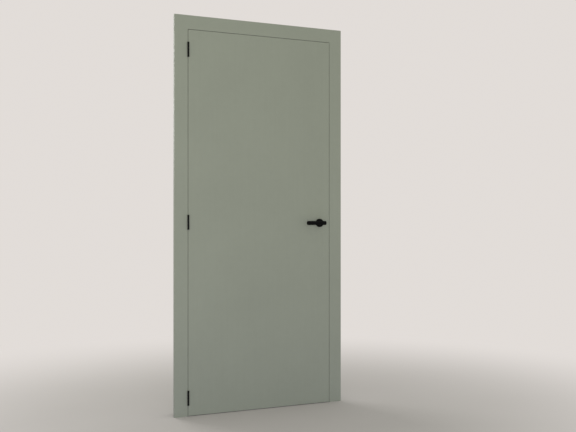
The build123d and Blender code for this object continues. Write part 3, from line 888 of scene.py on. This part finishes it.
    def add_thread(self, shape: bmesh.types.BMesh, top: float, bottom: float) -> None:
        """Wind a sharp ridge round the core.

        Args:
            shape: The screw.
            top: Height at which the thread starts.
            bottom: Height at which it ends.
        """
        form = self.form
        foot, half_width = form.core * self.foot_radius, form.pitch * self.foot_half_width
        corners = [shape.verts.new((foot, 0.0, top + half_width)),
                   shape.verts.new((form.thread_radius, 0.0, top)),
                   shape.verts.new((foot, 0.0, top - half_width))]
        section = shape.faces.new(corners)
        turns = (top - bottom) / form.pitch
        steps = max(self.thread_steps, round(turns * self.thread_steps))
        bmesh.ops.spin(shape, geom=[section, *section.edges, *corners], cent=(0.0, 0.0, 0.0),
                       axis=(0.0, 0.0, 1.0), dvec=(0.0, 0.0, (bottom - top) / steps),
                       angle=math.tau * turns, steps=steps, use_merge=False,
                       use_normal_flip=False, use_duplicate=False)


class SubAssembly:
    """A part of the door that is built and dressed by itself."""

    def screws(self) -> list[ScrewSet]:
        """Give the screws that stand for plain ones. None, unless a sub-assembly has some."""
        return []

    def build(self) -> list[bpy.types.Object]:
        """Make the pieces that stand for plainer CAD nodes."""
        return [screws.build() for screws in self.screws()]

    def dress(self) -> list[bpy.types.Object]:
        """Give the other CAD nodes their finishes, which each sub-assembly does in its own way."""
        raise NotImplementedError(type(self).__name__)


@dataclass
class FrameSet(SubAssembly):
    """Casings, linings and seals of the door's frame."""

    paint: SatinPaint = SatinPaint()
    seal: SoftRubber = SoftRubber()
    zinc: ZincSteel = ZincSteel(lay=Lay.NONE)

    def screws(self) -> list[ScrewSet]:
        """Give the screws that join the lining's corners, driven in from both sides."""
        return [ScrewSet("lining_screws", "frame", Way.RIGHT, self.zinc, LINING_SCREW,
                         facing_pairs=True)]

    def dress(self) -> list[bpy.types.Object]:
        """Paint the boards along their own length, and give the seals their rubber.

        Returns:
            The dressed nodes.
        """
        dressed = []
        for place, lay in (("hinge_side", Lay.UPRIGHT), ("latch_side", Lay.UPRIGHT),
                           ("head", Lay.ACROSS)):
            boards = [f"{board}_{place}" for board in ("front_casing", "lining", "back_casing")]
            dressed += apply_finish(self.paint.laid(lay), *boards)
            dressed += apply_finish(self.seal.laid(lay), f"seal_{place}")
        return dressed


@dataclass
class DoorLeaf(SubAssembly):
    """The built-up leaf."""

    paint: SatinPaint = SatinPaint()
    board: Chipboard = Chipboard()

    def dress(self) -> list[bpy.types.Object]:
        """Paint the skins, stiles and rails, and leave the core bare.

        Returns:
            The dressed nodes.
        """
        upright = apply_finish(self.paint, "skin_front", "skin_back", "stile_hinge_side",
                               "stile_latch_side")
        across = apply_finish(self.paint.laid(Lay.ACROSS), "rail_top", "rail_bottom")
        return upright + across + apply_finish(self.board, "core_board", "lock_block")


@dataclass
class HingeSet(SubAssembly):
    """Three barrel hinges with their pins, washers and screws."""

    coat: BlackCoat = BlackCoat()
    washer: MouldedPlastic = MouldedPlastic(slot="bearing_plastic", colour=(0.03, 0.03, 0.03))

    def screws(self) -> list[ScrewSet]:
        """Give the screws of both leaves of the hinges, whose heads face each other."""
        return [ScrewSet("hinge_screws_frame", "frame", Way.RIGHT, self.coat, PLATE_SCREW),
                ScrewSet("hinge_screws_leaf", "leaf", Way.LEFT, self.coat, PLATE_SCREW)]

    def dress(self) -> list[bpy.types.Object]:
        """Coat the hinges black, and give the washers their plastic.

        Returns:
            The dressed nodes.
        """
        parts = [f"hinge_{place}_{part}" for place in ("bottom", "middle", "top")
                 for part in ("frame_leaf", "door_leaf", "pin")]
        return apply_finish(self.coat, *parts) + apply_finish(self.washer, "hinge_washers")


@dataclass
class BoltSpring:
    """Square-wire coil that pushes the bolt out. Lengths in metres."""

    finish: Finish
    wire: float = 0.0011
    wire_corner: float = 0.00015
    working_turns: float = 4.0
    closed_turns: float = 1.0
    closed_pitch: float = 0.00116
    turn_steps: int = 32

    def build(self) -> bpy.types.Object:
        """Wind the coil, and give the piece a mesh of its own.

        Returns:
            The piece.
        """
        low, high = (Vector(corner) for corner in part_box("latch_spring"))
        middle, length = (low + high) / 2, high.x - low.x
        start = Vector((low.x + self.wire / 2, middle.y, high.z - self.wire / 2))
        shape, section = self.wire_end(start)
        closed = self.closed_turns * self.closed_pitch
        for turns, run in ((self.closed_turns, closed),
                           (self.working_turns, length - self.wire - 2 * closed),
                           (self.closed_turns, closed)):
            steps = round(turns * self.turn_steps)
            section = bmesh.ops.spin(
                shape, geom=section, cent=middle, axis=(1.0, 0.0, 0.0),
                dvec=(run / steps, 0.0, 0.0), angle=math.tau * turns, steps=steps,
                use_merge=False, use_normal_flip=False, use_duplicate=False)["geom_last"]
        piece = as_piece("latch_spring_coil", shape, self.finish, "leaf", "latch_spring")
        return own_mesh(piece)

    def wire_end(self, place: Vector) -> tuple[bmesh.types.BMesh, list[Element]]:
        """Start the wire with its own section, whose corners are rounded.

        Args:
            place: The middle of the section.

        Returns:
            The new shape and all its elements.
        """
        shape = bmesh.new()
        bmesh.ops.create_circle(shape, cap_ends=True, radius=self.wire / math.sqrt(2), segments=4)
        bmesh.ops.bevel(shape, geom=list(shape.verts), offset=self.wire_corner, segments=2,
                        affect="VERTICES", profile=0.5, material=-1)
        upright = Matrix.Rotation(math.radians(90.0), 4, "X")
        square = Matrix.Rotation(math.radians(45.0), 4, "Z")
        shape.transform(Matrix.Translation(place) @ upright @ square)
        return shape, [*shape.faces, *shape.edges, *shape.verts]


@dataclass
class LatchSet(SubAssembly):
    """Mortise latch in the leaf and the strike in the frame."""

    coat: BlackCoat = BlackCoat()
    zinc: ZincSteel = ZincSteel()
    cup: MouldedPlastic = MouldedPlastic()

    def screws(self) -> list[ScrewSet]:
        """Give the screws of the forend, the strike and the case's cover.

        Returns:
            The screws.
        """
        return [
            ScrewSet("latch_forend_screws", "leaf", Way.RIGHT, self.coat, PLATE_SCREW),
            ScrewSet("strike_screws", "frame", Way.LEFT, self.coat, PLATE_SCREW),
            ScrewSet("latch_cover_screws", "leaf", Way.BACK, self.zinc, COVER_SCREW),
        ]

    def build(self) -> list[bpy.types.Object]:
        """Make the screws and the bolt's spring."""
        return [*super().build(), BoltSpring(self.zinc).build()]

    def dress(self) -> list[bpy.types.Object]:
        """Give the plates their coat, the cup its plastic and the works their zinc.

        Returns:
            The dressed nodes.
        """
        plates = apply_finish(self.coat, "latch_forend", "strike_plate")
        works = apply_finish(self.zinc, "latch_case", "latch_cover", "latch_bolt",
                             "latch_follower", "lever_return_spring")
        return plates + works + apply_finish(self.cup, "strike_box")


@dataclass
class HandleSet(SubAssembly):
    """Levers, roses and spindle."""

    coat: BlackCoat = BlackCoat()
    zinc: ZincSteel = ZincSteel()

    def screws(self) -> list[ScrewSet]:
        """Give the screws that clamp the roses, and those that clamp the levers."""
        return [ScrewSet("rose_screws", "leaf", Way.BACK, self.zinc, ROSE_SCREW),
                ScrewSet("grub_screws", "handle", Way.DOWN, self.coat, GRUB_SCREW)]

    def dress(self) -> list[bpy.types.Object]:
        """Coat what shows and plate what is hidden.

        Returns:
            The dressed nodes.
        """
        shown = apply_finish(self.coat, "lever_front", "lever_back", "rose_cover_front",
                             "rose_cover_back")
        return shown + apply_finish(self.zinc, "spindle", "rose_base_front", "rose_base_back")


@dataclass(frozen=True)
class Lamp:
    """A soft square lamp. Lengths in metres, power in watts."""

    name: str
    place: Place
    target: Place
    size: float
    power: float

    def hang(self) -> None:
        """Put the lamp in the scene, turned to its target."""
        data = bpy.data.lights.new(self.name, "AREA")
        data.size = self.size
        data.energy = self.power
        lamp = put_in_scene(self.name, data)
        lamp.location = self.place
        lamp.rotation_mode = "QUATERNION"
        way = Vector(self.target) - Vector(self.place)
        lamp.rotation_quaternion = way.to_track_quat("-Z", "Y")


@dataclass(frozen=True)
class Floor:
    """Round matt floor that fades into the background far from the door. Lengths in metres.

    Attributes:
        background: The colour that it fades into.
        tone: Its colour as it is seen.
        bounce: Its colour for the light that it throws back on the door.
        radius: Its radius.
        segments: Sides of its edge.
        fade: Distances from the middle between which it fades.
        cloud_scale: Cloudy patches in a metre.
        cloud_tone: Tone of the lightest patches, as a share of the colour.
        speck_scale: Specks in a metre.
        speck_depth: How much darker the specks are.
        roughness: Its roughness.
        specular: Its specular level.
    """

    background: Colour
    tone: Colour = (0.56, 0.525, 0.505)
    bounce: Colour = (0.67, 0.62, 0.88)
    radius: float = 16.0
    segments: int = 96
    fade: Span = (0.7, 3.0)
    cloud_scale: float = 1.3
    cloud_tone: float = 1.03
    speck_scale: float = 160.0
    speck_depth: float = 0.03
    roughness: float = 0.8
    specular: float = 0.1

    def put_down(self) -> None:
        """Lay the floor under the door, as a part of the stage."""
        shape = bmesh.new()
        bmesh.ops.create_circle(shape, cap_ends=True, radius=self.radius, segments=self.segments)
        mesh = as_mesh("floor", shape)
        mesh.materials.append(self.material())
        put_in_scene("floor", mesh)

    def material(self) -> bpy.types.Material:
        """Make the floor's material: matt near the door, background colour far away.

        Returns:
            The material.
        """
        sheet = SurfaceSheet("floor")
        cloud = sheet.noise(self.cloud_scale, detail=4.0)
        speck = sheet.noise(self.speck_scale, detail=4.0)
        light_tone = tuple(part * self.cloud_tone for part in self.tone)
        tone = sheet.ramp(cloud, [(NOISE_LOW, self.tone), (NOISE_HIGH, light_tone)])
        tone = sheet.shaded(tone, speck, self.speck_depth)
        colour = sheet.node("ShaderNodeMix", data_type="RGBA")
        colour.inputs["A"].default_value = (*self.bounce, 1.0)
        sheet.link(sheet.seen_directly(), colour.inputs["Factor"])
        sheet.link(tone, colour.inputs["B"])
        sheet.link(colour.outputs["Result"], sheet.shader.inputs["Base Color"])
        sheet.fix(Roughness=self.roughness, Specular_IOR_Level=self.specular)
        glow = sheet.node("ShaderNodeEmission")
        glow.inputs["Color"].default_value = (*self.background, 1.0)
        faded = sheet.mixed(self.far(sheet), sheet.shader.outputs["BSDF"],
                            glow.outputs["Emission"])
        sheet.link(faded, sheet.surface)
        return sheet.material

    def far(self, sheet: SurfaceSheet) -> Socket:
        """Tell how far a point lies on the way from the near floor to the background.

        Args:
            sheet: The node sheet to work on.

        Returns:
            0 near the door and 1 far away.
        """
        length = sheet.node("ShaderNodeVectorMath", operation="LENGTH")
        sheet.link(sheet.coordinates, length.inputs[0])
        made = sheet.node("ShaderNodeMapRange", interpolation_type="SMOOTHSTEP")
        made.inputs["From Min"].default_value = self.fade[0]
        made.inputs["From Max"].default_value = self.fade[1]
        sheet.link(length.outputs["Value"], made.inputs["Value"])
        return made.outputs["Result"]


@dataclass
class Studio:
    """Camera, floor and soft light. Lengths in metres, angles in degrees."""

    camera_place: Place = (-1.8774, -4.3393, 1.0434)
    camera_turn: float = -25.23
    camera_lift: float = 0.025
    lens: float = 54.375
    background: Colour = (0.76, 0.72, 0.69)
    sky_light: float = 0.62
    sky_colour: Colour = (0.975, 1.0, 0.955)
    lamps: tuple[Lamp, ...] = (
        Lamp("key_light", place=(-2.0, -4.9, 0.8), target=(0.0, 0.0, 0.9), size=2.8, power=112.0),
        Lamp("rear_light", place=(-1.5, 4.4, 3.0), target=(0.0, 0.0, 1.0), size=3.0, power=95.0),
    )

    def build(self) -> None:
        """Set up the camera, the floor, the world and the lamps."""
        self.add_camera()
        Floor(self.background).put_down()
        self.add_world()
        for lamp in self.lamps:
            lamp.hang()
        bpy.context.scene.view_settings.view_transform = "Standard"

    def add_camera(self) -> None:
        """Stand the camera at chest height, all but level, turned towards the door."""
        data = bpy.data.cameras.new("camera")
        data.lens = self.lens
        camera = put_in_scene("camera", data)
        camera.location = self.camera_place
        camera.rotation_euler = Euler((
            math.radians(90.0 + self.camera_lift), 0.0, math.radians(self.camera_turn)))
        bpy.context.scene.camera = camera

    def add_world(self) -> None:
        """Light the scene evenly, and show the background's colour."""
        world = bpy.data.worlds.new("studio")
        world.use_nodes = True
        bpy.context.scene.world = world
        sheet = NodeSheet(world.node_tree)
        light, shown = (sheet.node("ShaderNodeBackground") for _ in range(2))
        light.inputs["Color"].default_value = (*self.sky_colour, 1.0)
        light.inputs["Strength"].default_value = self.sky_light
        shown.inputs["Color"].default_value = (*self.background, 1.0)
        sky = sheet.mixed(sheet.seen_directly(), light.outputs["Background"],
                          shown.outputs["Background"])
        sheet.link(sky, sheet.node("ShaderNodeOutputWorld").inputs["Surface"])


def main() -> None:
    """Build and dress each sub-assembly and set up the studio."""
    logging.basicConfig(level=logging.INFO, format="%(message)s")
    for part in (FrameSet(), DoorLeaf(), HingeSet(), LatchSet(), HandleSet()):
        for piece in part.build() + part.dress():
            LOG.info("%s: %s, %d faces, %s", type(part).__name__, piece.name,
                     len(piece.data.polygons), piece.active_material.name)
    Studio().build()
    LOG.info("The studio is set up")


if __name__ == "__main__":
    main()
